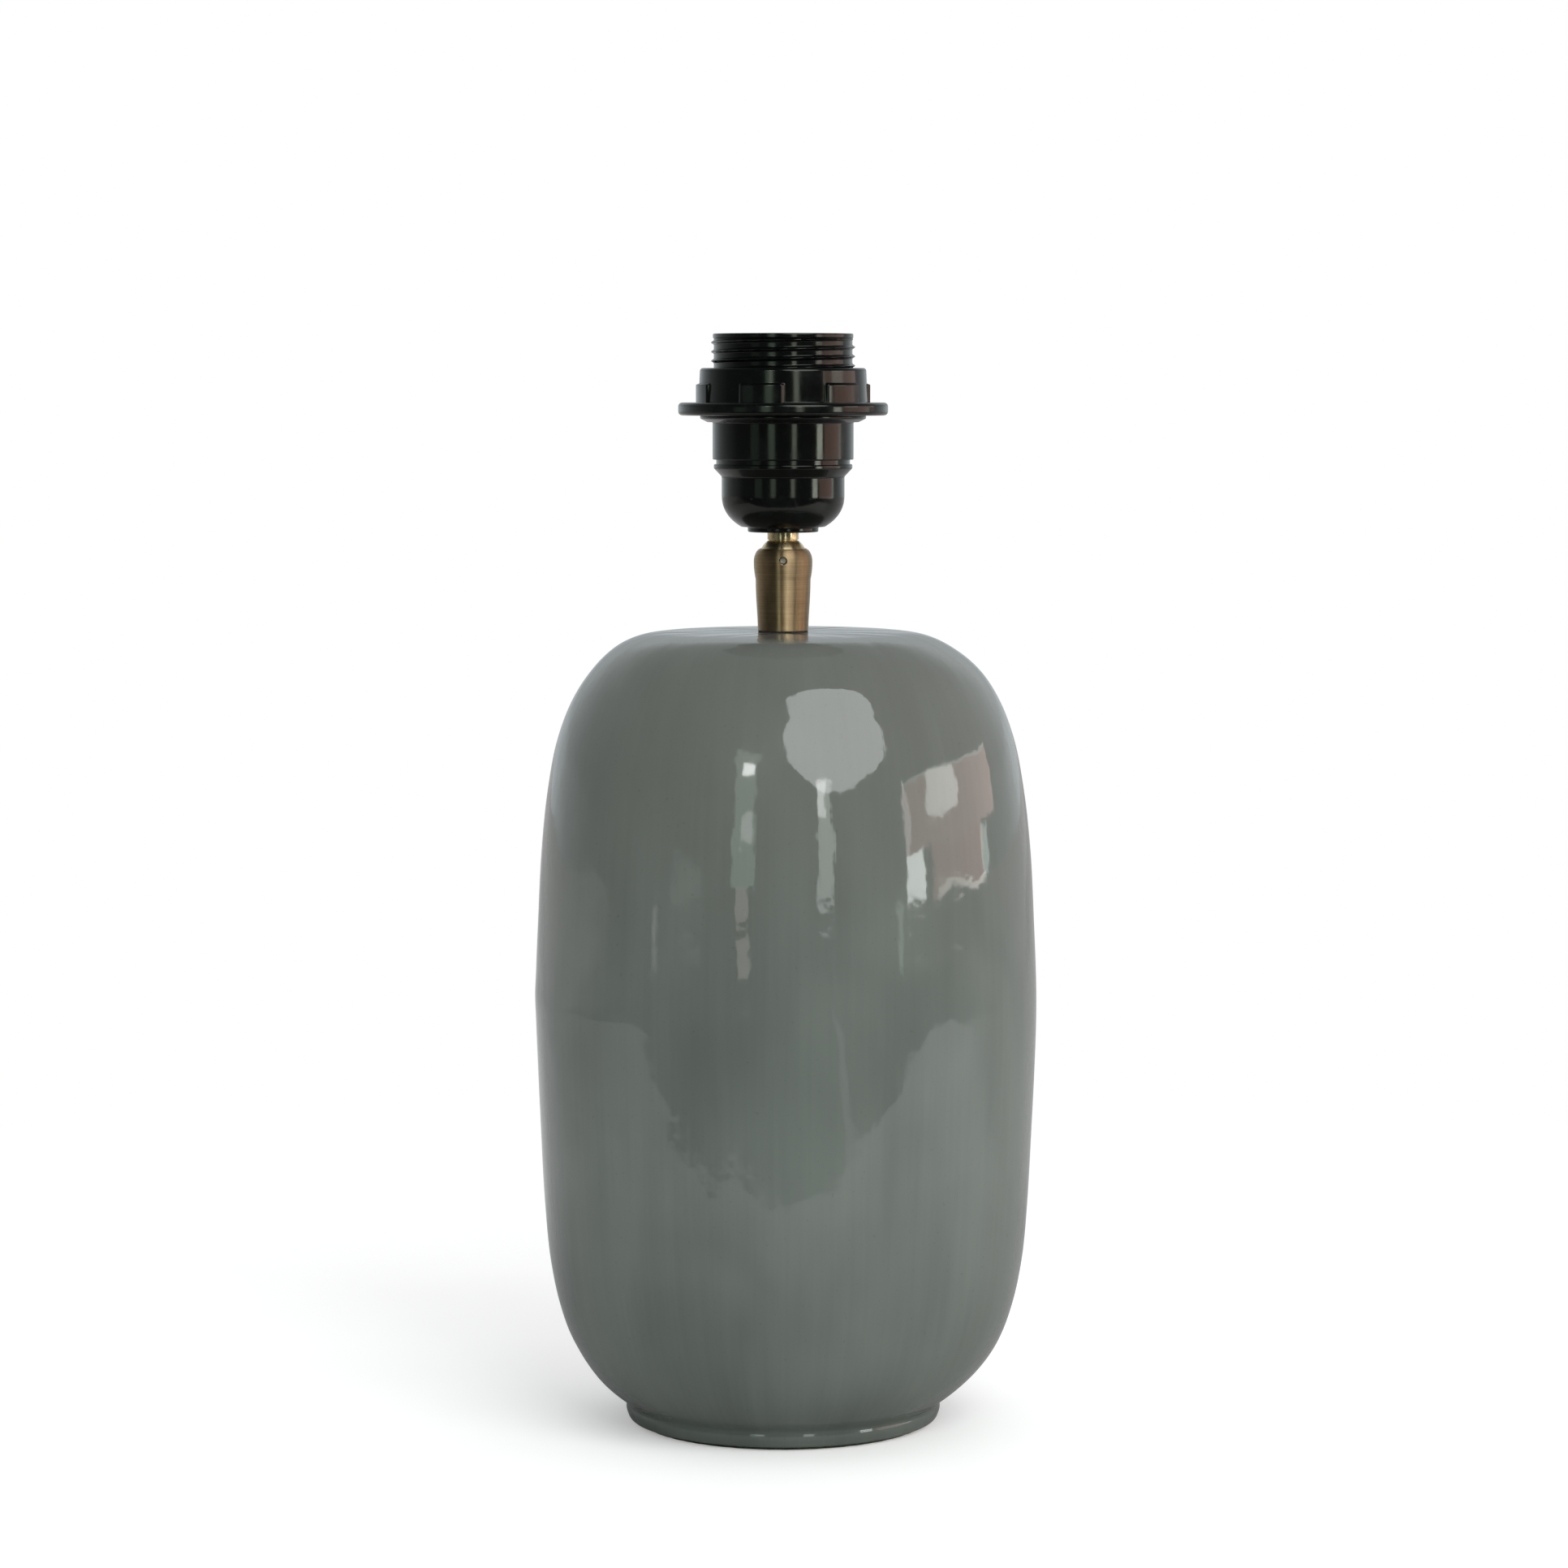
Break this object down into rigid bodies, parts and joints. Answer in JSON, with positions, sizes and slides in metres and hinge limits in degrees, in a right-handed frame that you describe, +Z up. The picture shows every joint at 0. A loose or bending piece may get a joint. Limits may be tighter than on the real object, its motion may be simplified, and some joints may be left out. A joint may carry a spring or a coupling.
{
  "type": "table lamp base",
  "caption": "Ceramic table lamp base: hollow glazed body on a rolled foot, brass ball swivel, and a black E27 lampholder with a screwed shade ring.",
  "frame": {"origin": "middle of the face the lamp stands on", "axes": "+Z up along the lamp's axis; the swivel's grub screw faces -Y and the cord's hole is at +Y"},
  "size_m": [0.1394, 0.1394, 0.3036],
  "materials": {
    "glaze": "glossy grey-green glaze",
    "felt": "pressed wool felt",
    "rubber": "moulded",
    "aged_brass": "turned and antiqued",
    "bright_brass": "turned bright",
    "zinc_steel": "zinc plated",
    "black_plastic": "moulded, glossy",
    "phenolic": "moulded phenolic",
    "spring_bronze": "rolled strip"
  },
  "bodies": {
    "base": {"ceramic_body": "glaze", "felt_ring": "felt", "cord_grommet": "rubber", "top_gasket": "rubber", "rubber_washer": "rubber", "steel_washer": "zinc_steel", "lock_washer": "zinc_steel", "hex_nut": "zinc_steel", "threaded_nipple": "zinc_steel", "swivel_body": "aged_brass", "grub_screw": "zinc_steel", "disc_spring": "zinc_steel"},
    "swivel_seat": {"ball_seat": "aged_brass"},
    "lamp_head": {"ball_stem": "bright_brass", "holder_cap": "black_plastic", "entry_lock_screw": "zinc_steel", "holder_skirt": "black_plastic", "insulator_core": "phenolic", "screw_shell": "bright_brass", "neutral_terminal": "bright_brass", "live_terminal": "bright_brass", "neutral_terminal_screw": "zinc_steel", "live_terminal_screw": "zinc_steel", "contact_rivet": "bright_brass"},
    "contact_leaf": {"centre_contact": "spring_bronze"},
    "shade_clamp": {"shade_ring": "black_plastic"}
  },
  "joints": [
    {"name": "swivel_turn", "type": "hinge", "parent": "base", "child": "swivel_seat", "pos_m": [0, 0, 0.2412], "axis": [0, 0, 1], "range_deg": [-170, 170]},
    {"name": "swivel_tilt", "type": "hinge", "parent": "swivel_seat", "child": "lamp_head", "pos_m": [0, 0, 0.2412], "axis": [0, 1, 0], "range_deg": [-20, 20]},
    {"name": "contact_press", "type": "hinge", "parent": "lamp_head", "child": "contact_leaf", "pos_m": [-0.0076, 0, 0.27275], "axis": [0, 1, 0], "range_deg": [0, 12], "stiffness_Nm_per_rad": 0.2},
    {"name": "shade_ring_unscrew", "type": "slide", "parent": "lamp_head", "child": "shade_clamp", "axis": [0, 0, 1], "range_m": [0, 0.0225]}
  ]
}
